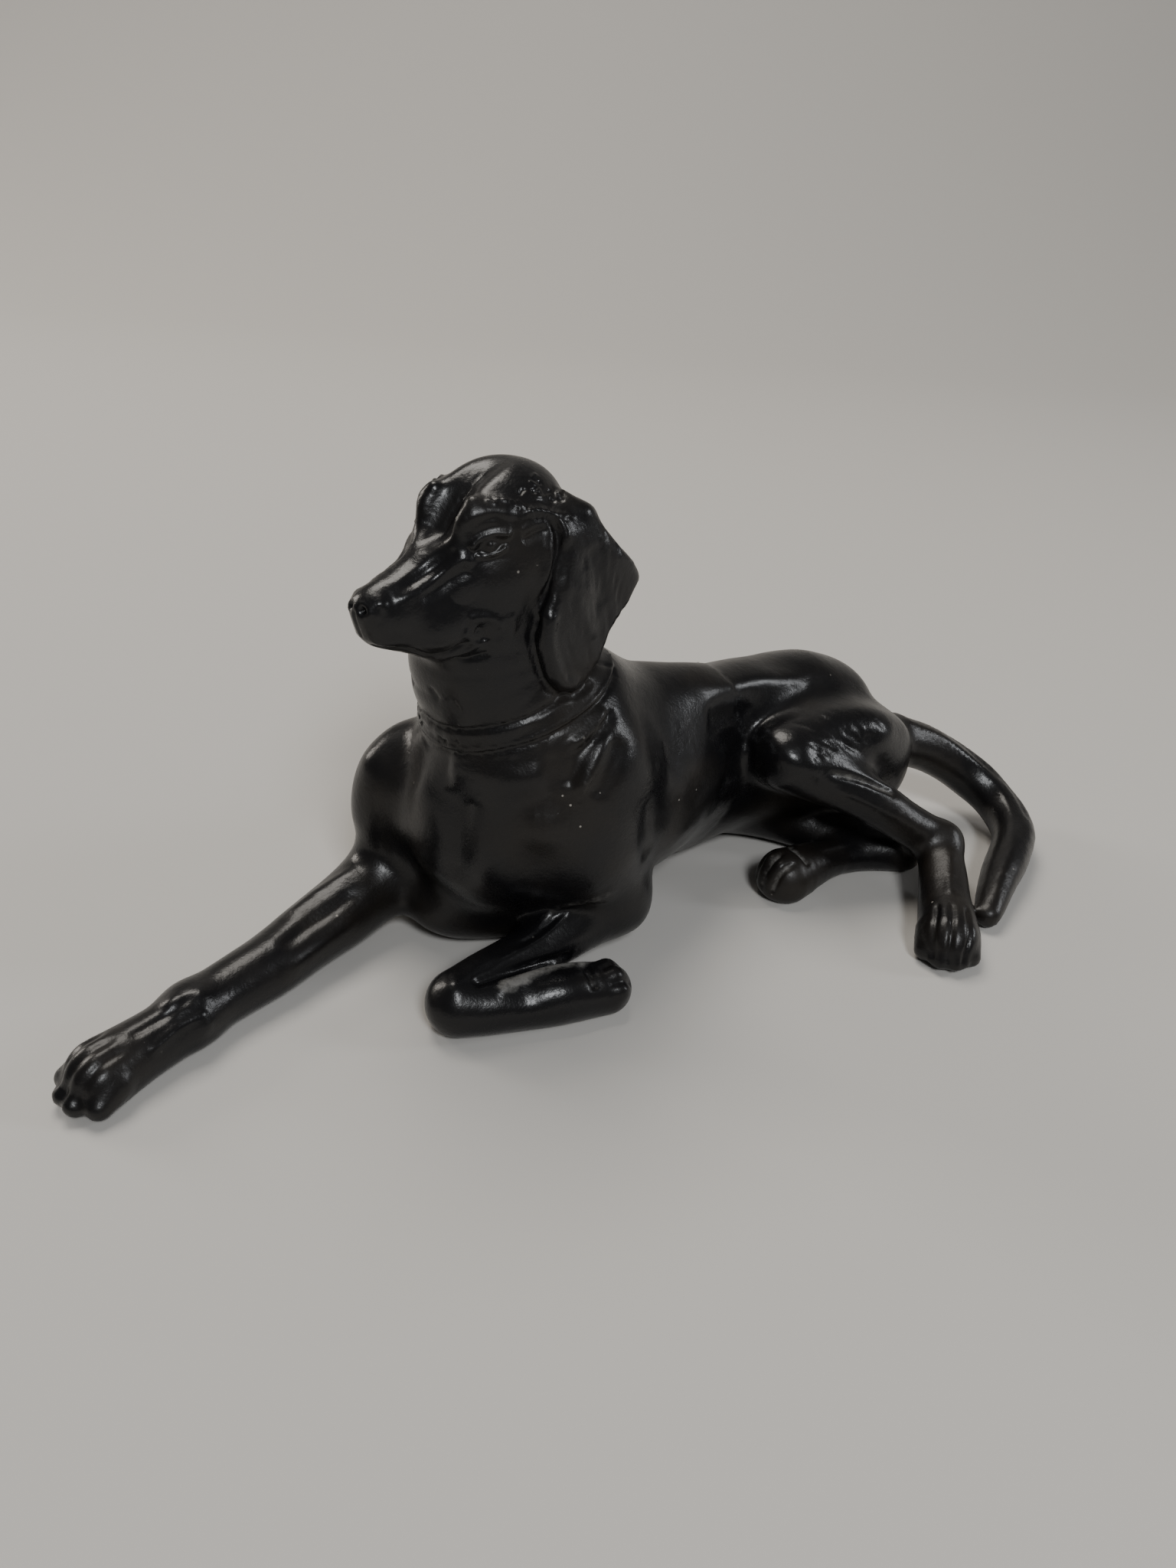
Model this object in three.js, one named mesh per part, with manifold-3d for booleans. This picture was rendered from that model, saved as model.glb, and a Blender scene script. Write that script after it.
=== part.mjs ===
// A reclining hound cast in one piece of iron: head up, right foreleg stretched out in front,
// left foreleg folded, both hind legs thrown out to its left and the tail curled round them.
// The casting is one closed solid. Its skin is where a smooth field of muscles and bones is zero,
// taken on a fine grid and then thinned to the facets that its shape needs, and its underside is
// planed off flat where paws, limbs, belly and tail meet the table.
// Millimetres, +Z up, the head towards -X and the dog's left side towards -Y.

import * as THREE from 'three';
import { mergeVertices } from 'three/addons/utils/BufferGeometryUtils.js';
import Module from 'manifold-3d';

// Spacing of the grid that the skin is taken on: fine at the head and the paws.
const FINE_GRID = 1.7;
const COARSE_GRID = 2.8;
// How many facets the finished skin keeps, and how much more the head's and the paws' shape counts.
const FACETS = 9700;
const FINE_WEIGHT = 5;

// The head is set on the neck at this point, turned to the dog's left and dipped a little.
const HEAD_SEAT = [-34, -1, 114];
const HEAD_TURN = 12;
const HEAD_DIP = 15;

// The ear's outline is rounded by this much, and the leaf is this thick.
const EAR_ROUND = 1.6;
const EAR_THICKNESS = 4.4;

const IRON = { color: 0x17171a, roughness: 0.38, metalness: 0.55 };

// ---- Forms: an egg with three radii, and a run of limbs along a smooth line.

const rad = THREE.MathUtils.degToRad;

// A form is { dist, soft, cut, middle, reach }: soft is how widely it melts into what is there, a
// cut form is carved out instead, and middle and reach are a ball that holds it.
function egg([cx, cy, cz], [rx, ry, rz], soft, [tx, ty, tz] = [0, 0, 0]) {
  const m = new THREE.Matrix3().setFromMatrix4(
    new THREE.Matrix4().makeRotationFromEuler(new THREE.Euler(rad(tx), rad(ty), rad(tz), 'ZYX'))
  ).transpose().elements;
  const dist = (x, y, z) => {
    const px = x - cx, py = y - cy, pz = z - cz;
    const u = (m[0] * px + m[3] * py + m[6] * pz) / rx;
    const v = (m[1] * px + m[4] * py + m[7] * pz) / ry;
    const w = (m[2] * px + m[5] * py + m[8] * pz) / rz;
    const k = Math.sqrt(u * u + v * v + w * w);
    if (k < 1e-6) return -Math.min(rx, ry, rz);
    const g = Math.sqrt((u / rx) ** 2 + (v / ry) ** 2 + (w / rz) ** 2);
    return k * (k - 1) / g;
  };
  return { dist, soft, cut: false, middle: [cx, cy, cz], reach: Math.max(rx, ry, rz) };
}

function limb([ax, ay, az, ra], [bx, by, bz, rb]) {
  const dx = bx - ax, dy = by - ay, dz = bz - az;
  const span = dx * dx + dy * dy + dz * dz;
  return (x, y, z) => {
    const px = x - ax, py = y - ay, pz = z - az;
    const t = Math.min(1, Math.max(0, (px * dx + py * dy + pz * dz) / span));
    return Math.hypot(px - t * dx, py - t * dy, pz - t * dz) - (ra + (rb - ra) * t);
  };
}

// Points along a smooth line through the given [x, y, z, radius], STEPS to each stretch.
function smoothLine(points) {
  const STEPS = 4;
  if (points.length === 2) return points;
  const ends = [points[0], ...points, points[points.length - 1]];
  const line = [];
  for (let i = 0; i + 3 < ends.length; i++) {
    const [a, b, c, d] = ends.slice(i, i + 4);
    for (let s = 0; s < STEPS; s++) {
      const t = s / STEPS;
      line.push(b.map((_, n) => b[n] + 0.5 * t * (c[n] - a[n]
        + t * (2 * a[n] - 5 * b[n] + 4 * c[n] - d[n] + t * (3 * (b[n] - c[n]) + d[n] - a[n])))));
    }
  }
  return [...line, points[points.length - 1]];
}

function run(points, soft, cut = false) {
  const line = smoothLine(points);
  const links = line.slice(1).map((p, i) => limb(line[i], p));
  const box = new THREE.Box3().setFromPoints(line.map((p) => new THREE.Vector3(...p)));
  const middle = box.getCenter(new THREE.Vector3()).toArray();
  const reach = Math.max(...line.map((p) => Math.hypot(p[0] - middle[0], p[1] - middle[1], p[2] - middle[2]) + p[3]));
  const dist = (x, y, z) => Math.min(...links.map((link) => link(x, y, z)));
  return { dist, soft, cut, middle, reach };
}

function melt(a, b, k) {
  if (k <= 0) return Math.min(a, b);
  const h = Math.max(k - Math.abs(a - b), 0) / k;
  return Math.min(a, b) - h * h * k / 4;
}

// Melts forms into the distance d at a point, where they are near enough to matter.
function melted(forms, x, y, z, d) {
  const MARGIN = 12;
  for (const { dist, soft, cut, middle, reach } of forms) {
    const away = Math.hypot(x - middle[0], y - middle[1], z - middle[2]) - reach;
    if (away > soft + MARGIN) d = cut ? d : Math.min(d, away);
    else d = cut ? -melt(-d, dist(x, y, z), soft) : melt(d, dist(x, y, z), soft);
  }
  return d;
}

// Four toes side by side at the tip of a paw, the middle two a little ahead.
function toes(ankle, tip, radius, spread) {
  const ahead = new THREE.Vector3(...tip).sub(new THREE.Vector3(...ankle)).normalize();
  const across = new THREE.Vector3().crossVectors(ahead, new THREE.Vector3(0, 0, 1)).normalize();
  const place = (side, lead, rise) => new THREE.Vector3(...tip)
    .addScaledVector(across, side).addScaledVector(ahead, lead).add(new THREE.Vector3(0, 0, rise)).toArray();
  return [[-1.5, -1.6], [-0.5, 1.2], [0.5, 1.2], [1.5, -1.6]].map(([side, lead]) => run([
    [...place(side * spread * 0.92, lead - 3.5, 1.5), radius],
    [...place(side * spread, lead + 2.2, -1.2), radius * 0.94],
  ], 1.6));
}

// ---- The trunk and the limbs, in the dog's own frame.

const trunk = [
  egg([-4, 3, 38], [45, 27, 32], 0), // rib cage
  egg([-30, 4, 38], [19, 25, 25], 12), // breast
  egg([-21, 8, 10], [30, 18, 13.5], 8), // brisket on the table
  egg([-41, 24, 34], [18, 13, 23], 8), // point of the right shoulder
  egg([-17, 1, 56], [24, 22, 19], 14), // withers
  egg([40, 11, 29.5], [46, 18, 29], 16), // belly and back
  egg([78, 9, 30], [27.5, 22, 25], 14, [-12, 0, 0]), // pelvis
  egg([90, 5, 38.5], [16, 15, 15.5], 10), // croup
  run([[-4, 1, 63, 8], [25, 2, 59.5, 7], [55, 5, 53, 7], [80, 7, 48.5, 7.5]], 12), // backbone
];

const neck = [run([[-18, 0, 64, 23], [-32, 1, 80, 19], [-35, 0, 98, 16.5]], 12)];

const rightForeleg = [
  run([[-38, 24, 25, 12], [-52, 22, 13, 10.5], [-84, 10, 8, 8.4], [-113, 0, 7, 7.4]], 7), // arm
  run([[-113, 0, 7, 7.4], [-128, -5.5, 6, 7.6], [-136, -8, 5.5, 8.4]], 4), // paw
  ...toes([-128, -5.5, 4.6], [-140, -9, 4.6], 3, 4.5),
];

const leftForeleg = [
  egg([-13, -19, 44], [15, 11, 23], 10, [0, 12, 0]), // shoulder
  run([[-11, -18, 34, 10], [-3, -17, 15, 9.5]], 8), // upper arm
  run([[-3, -17, 13, 10], [-28, -22, 10, 7.4], [-56, -27, 8, 7.2]], 6), // forearm
  run([[-57, -29, 7, 7.4], [-38, -36, 6, 7], [-20, -40, 5.5, 6.8]], 3), // folded paw
];

const rightHindLeg = [
  run([[82, 16, 14, 12], [64, 18, 10, 9]], 10), // thigh on the table
  run([[64, 8, 8, 7], [80, -14, 7, 7], [97, -32, 5, 5.5]], 6), // shank
  run([[97, -32, 5, 5.5], [77, -25, 5, 5.2], [54.5, -25.5, 6, 8.5]], 4), // foot
];

const leftHindLeg = [
  egg([79, -11, 34.5], [27, 13, 19], 8, [30, 8, -6]), // thigh
  egg([96, -12, 26], [13.5, 12, 15.5], 8), // buttock
  run([[57, -17, 41, 9.5], [79, -30, 28, 7], [99, -43.5, 14, 6.2]], 6), // shank
  run([[99, -43.5, 14, 6.2], [87.5, -57.5, 8, 7.2], [75, -70.5, 5.5, 8.6]], 4), // foot
  ...toes([87.5, -57.5, 4.6], [73, -72.6, 4.6], 3, 4.2),
];

const tail = [
  run([[111, -8, 30, 8], [126, -13, 23.5, 7.2], [137, -21, 16, 7], [140.5, -33, 9.5, 6.8],
    [133, -46, 7, 6.6], [114, -57, 6, 6], [96.5, -67, 3.8, 3.8]], 5),
];

// ---- The head, in a frame of its own: x to the nose, y out to either side, z to the crown.

const head = [
  egg([-2, 0, 2], [18, 15, 15.5], 0), // skull
  egg([6.5, 0, 3.5], [12, 11.5, 11.3], 4), // forehead
  run([[13, 0, -2.5, 8.8], [26, 0, -2.2, 7.4], [32.5, 0, -0.8, 5.6]], 5), // muzzle
  run([[29, 0, -7.5, 5], [19, 0, -12, 7.5], [7, 0, -16, 9]], 5), // jaw
  run([[16, 0, 3.4, 3], [32, 0, 2, 3]], 3), // bridge of the nose
  egg([35, 0, 1.2], [3.7, 4.3, 3.5], 1.5), // nose
  egg([32.2, 0, -4], [5.6, 5, 5], 3), // front lips
  egg([1, 8, -7], [13, 8, 10], 6), // cheek
  egg([18, 5.5, -9], [11, 4.5, 6.5], 4), // flews
  run([[11.4, 4.6, 10.6, 2], [8.6, 7, 11.6, 3], [3.6, 9.8, 10.6, 2.6]], 3), // brow
  run([[-6, 0, 20.5, 3], [4, 0, 17.8, 3.6], [14.5, 0, 11.6, 4.6]], 4, true), // furrow of the brow
];

// The outline of the hanging ear, as [x, z] round its leaf, and how far its middle stands out.
const EAR_OUTLINE = [
  [-9.5, 6], [-7.6, 0], [-3.2, -7], [2.6, -12], [4.8, -19], [4.2, -27], [2, -31.6], [-1.2, -33.6],
  [-5.4, -32.4], [-9.5, -30], [-13.6, -24.6], [-20.8, -20.4], [-24.6, -17.2], [-23.8, -13.4], [-20.6, -8],
  [-17.6, -1.6], [-15.8, 3.6], [-13, 7],
];
const earMiddle = (x, z) => 18.2 - 0.018 * Math.max(z + 10, 0) ** 2;

// Distance to the ear's rounded outline, negative within it.
function leaf(x, z) {
  let best = Infinity, inside = false;
  EAR_OUTLINE.forEach(([ax, az], i) => {
    const [bx, bz] = EAR_OUTLINE[(i + 1) % EAR_OUTLINE.length];
    const ex = bx - ax, ez = bz - az;
    const t = Math.min(1, Math.max(0, ((x - ax) * ex + (z - az) * ez) / (ex * ex + ez * ez)));
    best = Math.min(best, Math.hypot(x - ax - t * ex, z - az - t * ez));
    if ((az > z) !== (bz > z) && x < ax + (z - az) * ex / ez) inside = !inside;
  });
  return (inside ? -best : best) - EAR_ROUND;
}

const earFlap = (thickness, sunk) => ({
  dist: (x, y, z) => -melt(-leaf(x, z), thickness / 2 - Math.abs(y - earMiddle(x, z) + sunk), 3),
  soft: 2, cut: false, middle: [-9, 18, -14], reach: 30,
});

const ear = [
  egg([-11, 12, 1.5], [8, 5.5, 5], 4), // root
  earFlap(2 * EAR_THICKNESS, 3.5), // its fleshy inner side
  earFlap(EAR_THICKNESS, 0), // the leaf
];

// The head's frame, as the unit vectors of its own x, y and z.
const turn = rad(HEAD_TURN), dip = rad(HEAD_DIP);
const forward = new THREE.Vector3(-Math.cos(turn) * Math.cos(dip), -Math.sin(turn) * Math.cos(dip), -Math.sin(dip));
const leftward = new THREE.Vector3(Math.sin(turn), -Math.cos(turn), 0);
const upward = new THREE.Vector3().crossVectors(forward, leftward);

function headField(x, y, z) {
  const px = x - HEAD_SEAT[0], py = y - HEAD_SEAT[1], pz = z - HEAD_SEAT[2];
  const u = forward.x * px + forward.y * py + forward.z * pz;
  const v = Math.abs(leftward.x * px + leftward.y * py + leftward.z * pz);
  const w = upward.x * px + upward.y * py + upward.z * pz;
  return melted(ear, u, v, w, melted(head, u, v, w, Infinity));
}

// The blank goes this far below the table, to be planed off.
const SPARE = 1;
const HEAD_REACH = 60;

function field(x, y, z) {
  let d = melted([...trunk, ...neck], x, y, z, Infinity);
  if (Math.hypot(x - HEAD_SEAT[0], y - HEAD_SEAT[1], z - HEAD_SEAT[2]) < HEAD_REACH) {
    d = melt(d, headField(x, y, z), 3);
  }
  for (const part of [rightForeleg, leftForeleg, rightHindLeg, leftHindLeg, tail]) d = melted(part, x, y, z, d);
  return Math.max(d, -SPARE - z);
}

// ---- The skin: one vertex for each sheet of the surface in each grid cell.

// Grid lines from low to high, with a spacing that facetAt gives.
function gridLines(low, high, facetAt) {
  const lines = [low];
  while (lines[lines.length - 1] < high) {
    const at = lines[lines.length - 1];
    lines.push(at + facetAt(at));
  }
  return lines;
}

const CORNERS = [[0, 0, 0], [1, 0, 0], [0, 1, 0], [1, 1, 0], [0, 0, 1], [1, 0, 1], [0, 1, 1], [1, 1, 1]];
// The twelve edges of a cell as pairs of corners, four along each axis.
const EDGES = [[0, 1], [2, 3], [4, 5], [6, 7], [0, 2], [1, 3], [4, 6], [5, 7], [0, 4], [1, 5], [2, 6], [3, 7]];
// The six faces of a cell as rings of four corners.
const FACES = [[0, 1, 3, 2], [4, 5, 7, 6], [0, 1, 5, 4], [2, 3, 7, 6], [0, 2, 6, 4], [1, 3, 7, 5]];
const edgeOf = (a, b) => EDGES.findIndex(([p, q]) => (p === a && q === b) || (p === b && q === a));

// For each of the 256 ways a cell can be cut, the group of each crossed edge, or -1.
const GROUPS = Array.from({ length: 256 }, (_, signs) => {
  const group = new Array(12).fill(-1);
  EDGES.forEach(([a, b], e) => {
    if ((signs >> a & 1) !== (signs >> b & 1)) group[e] = e;
  });
  const join = (e, f) => {
    const from = group[f], to = group[e];
    for (let i = 0; i < 12; i++) if (group[i] === from) group[i] = to;
  };
  for (const ring of FACES) {
    const inside = ring.map((c) => signs >> c & 1);
    const edges = ring.map((c, i) => edgeOf(c, ring[(i + 1) % 4]));
    const crossed = edges.filter((e) => group[e] >= 0);
    if (crossed.length === 2) join(crossed[0], crossed[1]);
    if (crossed.length === 4) {
      // Two corners inside, diagonally: each keeps to itself.
      for (let i = 0; i < 4; i++) if (inside[i]) join(edges[i], edges[(i + 3) % 4]);
    }
  }
  return group;
});

function skin(dist, xs, ys, zs) {
  const nx = xs.length, ny = ys.length, nz = zs.length;
  const at = (i, j, k) => i + nx * (j + ny * k);
  const value = new Float64Array(nx * ny * nz);
  for (let k = 0; k < nz; k++) for (let j = 0; j < ny; j++) for (let i = 0; i < nx; i++) {
    value[at(i, j, k)] = dist(xs[i], ys[j], zs[k]);
  }
  const positions = [];
  const vertexOf = new Map();
  const cellKey = (i, j, k, e) => at(i, j, k) * 12 + e;
  for (let k = 0; k + 1 < nz; k++) for (let j = 0; j + 1 < ny; j++) for (let i = 0; i + 1 < nx; i++) {
    const corner = CORNERS.map(([a, b, c]) => value[at(i + a, j + b, k + c)]);
    let signs = 0;
    corner.forEach((v, n) => { if (v < 0) signs |= 1 << n; });
    if (signs === 0 || signs === 255) continue;
    const group = GROUPS[signs];
    const low = [xs[i], ys[j], zs[k]], high = [xs[i + 1], ys[j + 1], zs[k + 1]];
    for (const g of new Set(group.filter((n) => n >= 0))) {
      const sum = [0, 0, 0];
      let count = 0;
      for (let e = 0; e < 12; e++) {
        if (group[e] !== g) continue;
        const [a, b] = EDGES[e];
        const t = corner[a] / (corner[a] - corner[b]);
        for (let n = 0; n < 3; n++) {
          const pa = CORNERS[a][n] ? high[n] : low[n], pb = CORNERS[b][n] ? high[n] : low[n];
          sum[n] += pa + t * (pb - pa);
        }
        count++;
        vertexOf.set(cellKey(i, j, k, e), positions.length / 3);
      }
      positions.push(...settle(dist, sum.map((s) => s / count), low, high));
    }
  }
  const triangles = [];
  const quad = (q, flip) => {
    const [a, b, c, d] = flip ? [q[0], q[3], q[2], q[1]] : q;
    const gap = (m, n) => Math.hypot(...[0, 1, 2].map((o) => positions[3 * m + o] - positions[3 * n + o]));
    if (gap(a, c) <= gap(b, d)) triangles.push(a, b, c, a, c, d);
    else triangles.push(a, b, d, b, c, d);
  };
  for (let k = 1; k + 1 < nz; k++) for (let j = 1; j + 1 < ny; j++) for (let i = 1; i + 1 < nx; i++) {
    const here = value[at(i, j, k)] < 0;
    if (here !== value[at(i + 1, j, k)] < 0) {
      quad([vertexOf.get(cellKey(i, j - 1, k - 1, 3)), vertexOf.get(cellKey(i, j, k - 1, 2)),
        vertexOf.get(cellKey(i, j, k, 0)), vertexOf.get(cellKey(i, j - 1, k, 1))], !here);
    }
    if (here !== value[at(i, j + 1, k)] < 0) {
      quad([vertexOf.get(cellKey(i - 1, j, k - 1, 7)), vertexOf.get(cellKey(i - 1, j, k, 5)),
        vertexOf.get(cellKey(i, j, k, 4)), vertexOf.get(cellKey(i, j, k - 1, 6))], !here);
    }
    if (here !== value[at(i, j, k + 1)] < 0) {
      quad([vertexOf.get(cellKey(i - 1, j - 1, k, 11)), vertexOf.get(cellKey(i, j - 1, k, 10)),
        vertexOf.get(cellKey(i, j, k, 8)), vertexOf.get(cellKey(i - 1, j, k, 9))], !here);
    }
  }
  return { positions: new Float32Array(positions), triangles: new Uint32Array(triangles) };
}

// Slides a vertex on to the surface along the field's slope, without leaving its cell.
function settle(dist, point, low, high) {
  const STEP = 0.05, MARGIN = 0.05;
  for (let pass = 0; pass < 3; pass++) {
    const d = dist(...point);
    const slope = [0, 1, 2].map((n) => {
      const probe = [...point];
      probe[n] += STEP;
      return (dist(...probe) - d) / STEP;
    });
    const steep = slope.reduce((s, g) => s + g * g, 0);
    if (steep < 0.05) return point;
    point = point.map((p, n) => {
      const room = MARGIN * (high[n] - low[n]);
      return Math.min(high[n] - room, Math.max(low[n] + room, p - d * slope[n] / steep));
    });
  }
  return point;
}

// ---- Thinning: the edge whose loss changes the shape least goes first, until few facets are left.

// A point's error is the weighted sum of its squared distances to planes, kept as ten numbers.
function addPlane(q, [a, b, c, d], w) {
  const p = [a * a, a * b, a * c, a * d, b * b, b * c, b * d, c * c, c * d, d * d];
  for (let i = 0; i < 10; i++) q[i] += w * p[i];
}

function errorAt(q, [x, y, z]) {
  return q[0] * x * x + 2 * q[1] * x * y + 2 * q[2] * x * z + 2 * q[3] * x + q[4] * y * y
    + 2 * q[5] * y * z + 2 * q[6] * y + q[7] * z * z + 2 * q[8] * z + q[9];
}

// The point of least error, or null where the planes don't fix one.
function bestPoint(q) {
  const m = new THREE.Matrix3(q[0], q[1], q[2], q[1], q[4], q[5], q[2], q[5], q[7]);
  const size = q[0] + q[4] + q[7];
  if (Math.abs(m.determinant()) < 1e-4 * size ** 3) return null;
  return new THREE.Vector3(-q[3], -q[6], -q[8]).applyMatrix3(m.invert()).toArray();
}

function normalOf(a, b, c) {
  const u = [b[0] - a[0], b[1] - a[1], b[2] - a[2]], v = [c[0] - a[0], c[1] - a[1], c[2] - a[2]];
  return [u[1] * v[2] - u[2] * v[1], u[2] * v[0] - u[0] * v[2], u[0] * v[1] - u[1] * v[0]];
}

// A heap of [cost, ...] entries, the cheapest first.
class Heap {
  items = [];
  push(item) {
    const h = this.items;
    let i = h.push(item) - 1;
    while (i > 0 && h[(i - 1) >> 1][0] > item[0]) { h[i] = h[(i - 1) >> 1]; i = (i - 1) >> 1; }
    h[i] = item;
  }
  pop() {
    const h = this.items, top = h[0], last = h.pop();
    if (h.length === 0) return top;
    let i = 0;
    for (;;) {
      let next = 2 * i + 1;
      if (next >= h.length) break;
      if (next + 1 < h.length && h[next + 1][0] < h[next][0]) next++;
      if (h[next][0] >= last[0]) break;
      h[i] = h[next];
      i = next;
    }
    h[i] = last;
    return top;
  }
}

function thinned(positions, triangles, target, weightAt) {
  const at = Array.from({ length: positions.length / 3 }, (_, i) => Array.from(positions.slice(3 * i, 3 * i + 3)));
  const faces = Array.from({ length: triangles.length / 3 }, (_, i) => Array.from(triangles.slice(3 * i, 3 * i + 3)));
  const facesOf = at.map(() => new Set());
  const error = at.map(() => new Float64Array(10));
  const version = new Uint32Array(at.length);
  faces.forEach((f, i) => {
    const n = normalOf(at[f[0]], at[f[1]], at[f[2]]);
    const size = Math.hypot(...n) || 1e-12;
    const [a, b, c] = n.map((v) => v / size);
    const d = -(a * at[f[0]][0] + b * at[f[0]][1] + c * at[f[0]][2]);
    for (const v of f) {
      facesOf[v].add(i);
      addPlane(error[v], [a, b, c, d], size * weightAt(at[v]));
    }
  });
  const heap = new Heap();
  const offer = (a, b) => {
    const q = error[a].map((v, i) => v + error[b][i]);
    const middle = at[a].map((v, i) => (v + at[b][i]) / 2);
    const best = bestPoint(q);
    const length = Math.hypot(...at[a].map((v, i) => v - at[b][i]));
    const usable = best && Math.hypot(...best.map((v, i) => v - middle[i])) < length;
    const point = usable ? best : middle;
    // A small charge for length keeps the facets of flat stretches even.
    heap.push([errorAt(q, point) + 1e-5 * length ** 4, a, b, version[a], version[b], point]);
  };
  const neighbours = (v) => {
    const near = new Set();
    for (const f of facesOf[v]) for (const w of faces[f]) if (w !== v) near.add(w);
    return near;
  };
  faces.forEach(([a, b, c]) => {
    if (a < b) offer(a, b);
    if (b < c) offer(b, c);
    if (c < a) offer(c, a);
  });
  let left = faces.length;
  while (left > target && heap.items.length > 0) {
    const [, a, b, va, vb, point] = heap.pop();
    if (version[a] !== va || version[b] !== vb) continue;
    const nearA = neighbours(a), nearB = neighbours(b);
    if ([...nearA].filter((v) => nearB.has(v)).length !== 2) continue;
    const turns = [a, b].some((v) => [...facesOf[v]].some((f) => {
      if (faces[f].includes(a) && faces[f].includes(b)) return false;
      const before = normalOf(...faces[f].map((w) => at[w]));
      const after = normalOf(...faces[f].map((w) => (w === v ? point : at[w])));
      const dot = before[0] * after[0] + before[1] * after[1] + before[2] * after[2];
      return dot < 0.3 * Math.hypot(...before) * Math.hypot(...after);
    }));
    if (turns) continue;
    for (const f of [...facesOf[b]]) {
      if (faces[f].includes(a)) {
        for (const v of faces[f]) facesOf[v].delete(f);
        faces[f] = null;
        left--;
      } else {
        faces[f] = faces[f].map((v) => (v === b ? a : v));
        facesOf[a].add(f);
      }
    }
    facesOf[b].clear();
    at[a] = point;
    error[a] = error[a].map((v, i) => v + error[b][i]);
    version[a]++;
    version[b]++;
    for (const v of neighbours(a)) offer(a, v);
  }
  const number = new Map();
  const kept = faces.filter((f) => f !== null);
  for (const f of kept) for (const v of f) if (!number.has(v)) number.set(v, number.size);
  return {
    positions: new Float32Array([...number.keys()].flatMap((v) => at[v])),
    triangles: new Uint32Array(kept.flatMap((f) => f.map((v) => number.get(v)))),
  };
}

const within = (at, from, to) => at > from && at < to;
const xs = gridLines(-162, 160, (x) => (within(x, -85, 10) || x < -118 ? FINE_GRID : COARSE_GRID));
const ys = gridLines(-90, 45, (y) => (within(y, -40, 28) || y < -60 ? FINE_GRID : COARSE_GRID));
const zs = gridLines(-4, 140, (z) => (z < 16 || z > 70 ? FINE_GRID : COARSE_GRID));

// ---- The casting: the skin cut off flat at the table.

const wasm = await Module();
wasm.setup();

function solidOf(positions, triangles) {
  return new wasm.Manifold(new wasm.Mesh({ numProp: 3, vertProperties: positions, triVerts: triangles }));
}

function blockBelow(size) {
  const geometry = new THREE.BoxGeometry(size, size, size).translate(0, 0, -size / 2);
  geometry.deleteAttribute('normal');
  geometry.deleteAttribute('uv');
  const merged = mergeVertices(geometry);
  return solidOf(new Float32Array(merged.attributes.position.array), new Uint32Array(merged.index.array));
}

const isFine = ([x, y, z]) => z > 78 || x < -122 || y < -58 || (within(x, -66, -10) && y < -24 && z < 16);
const fineSkin = skin(field, xs, ys, zs);
const { positions, triangles } = thinned(
  fineSkin.positions, fineSkin.triangles, FACETS, (point) => (isFine(point) ? FINE_WEIGHT : 1));
const planed = solidOf(positions, triangles).subtract(blockBelow(800));
const mesh = planed.getMesh();

const geometry = new THREE.BufferGeometry();
geometry.setAttribute('position', new THREE.BufferAttribute(new Float32Array(mesh.vertProperties), 3));
geometry.setIndex(new THREE.BufferAttribute(new Uint32Array(mesh.triVerts), 1));

// The origin is on the table, at the middle of the casting's box.
geometry.computeBoundingBox();
const middle = geometry.boundingBox.getCenter(new THREE.Vector3());
geometry.translate(-middle.x, -middle.y, 0);
geometry.computeVertexNormals();

const dog = new THREE.Mesh(geometry, new THREE.MeshStandardMaterial(IRON));
dog.name = 'dog';

const statue = new THREE.Group();
statue.add(dog);

export default statue;
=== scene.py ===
import math

import bmesh
import bpy
import numpy as np
from mathutils import Euler, Matrix, Vector


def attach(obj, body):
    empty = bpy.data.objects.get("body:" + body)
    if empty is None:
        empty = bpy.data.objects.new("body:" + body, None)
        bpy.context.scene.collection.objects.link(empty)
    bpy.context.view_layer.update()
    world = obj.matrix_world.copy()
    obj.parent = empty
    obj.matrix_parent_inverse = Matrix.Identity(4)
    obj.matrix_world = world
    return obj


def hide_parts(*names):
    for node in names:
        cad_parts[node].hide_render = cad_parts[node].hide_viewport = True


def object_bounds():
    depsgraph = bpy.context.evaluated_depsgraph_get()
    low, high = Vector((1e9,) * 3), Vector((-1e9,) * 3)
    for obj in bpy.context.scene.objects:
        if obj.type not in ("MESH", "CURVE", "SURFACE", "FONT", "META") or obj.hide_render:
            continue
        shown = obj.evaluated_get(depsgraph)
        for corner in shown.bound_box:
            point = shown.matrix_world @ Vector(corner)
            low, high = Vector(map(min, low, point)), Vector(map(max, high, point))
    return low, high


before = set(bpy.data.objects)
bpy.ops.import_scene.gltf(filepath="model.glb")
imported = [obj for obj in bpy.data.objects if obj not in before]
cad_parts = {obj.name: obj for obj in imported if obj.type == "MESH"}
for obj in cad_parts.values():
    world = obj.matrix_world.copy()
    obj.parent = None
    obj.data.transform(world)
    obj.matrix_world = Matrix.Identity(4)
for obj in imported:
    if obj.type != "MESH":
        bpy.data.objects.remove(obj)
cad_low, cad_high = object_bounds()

# ---- Viewpoint ------------------------------------------------------------------------------
# Someone standing at a table looks down at the statue from its left front, at arm's length.

MM = 0.001
EYE_PLACE = Vector((-163.34, -201.43, 205.0)) * MM
EYE_AZIMUTH = math.radians(36.0)
EYE_PITCH = math.radians(31.0)
EYE_ROLL = math.radians(4.3)
SENSOR = 36.0
LENS = 27.07

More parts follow.
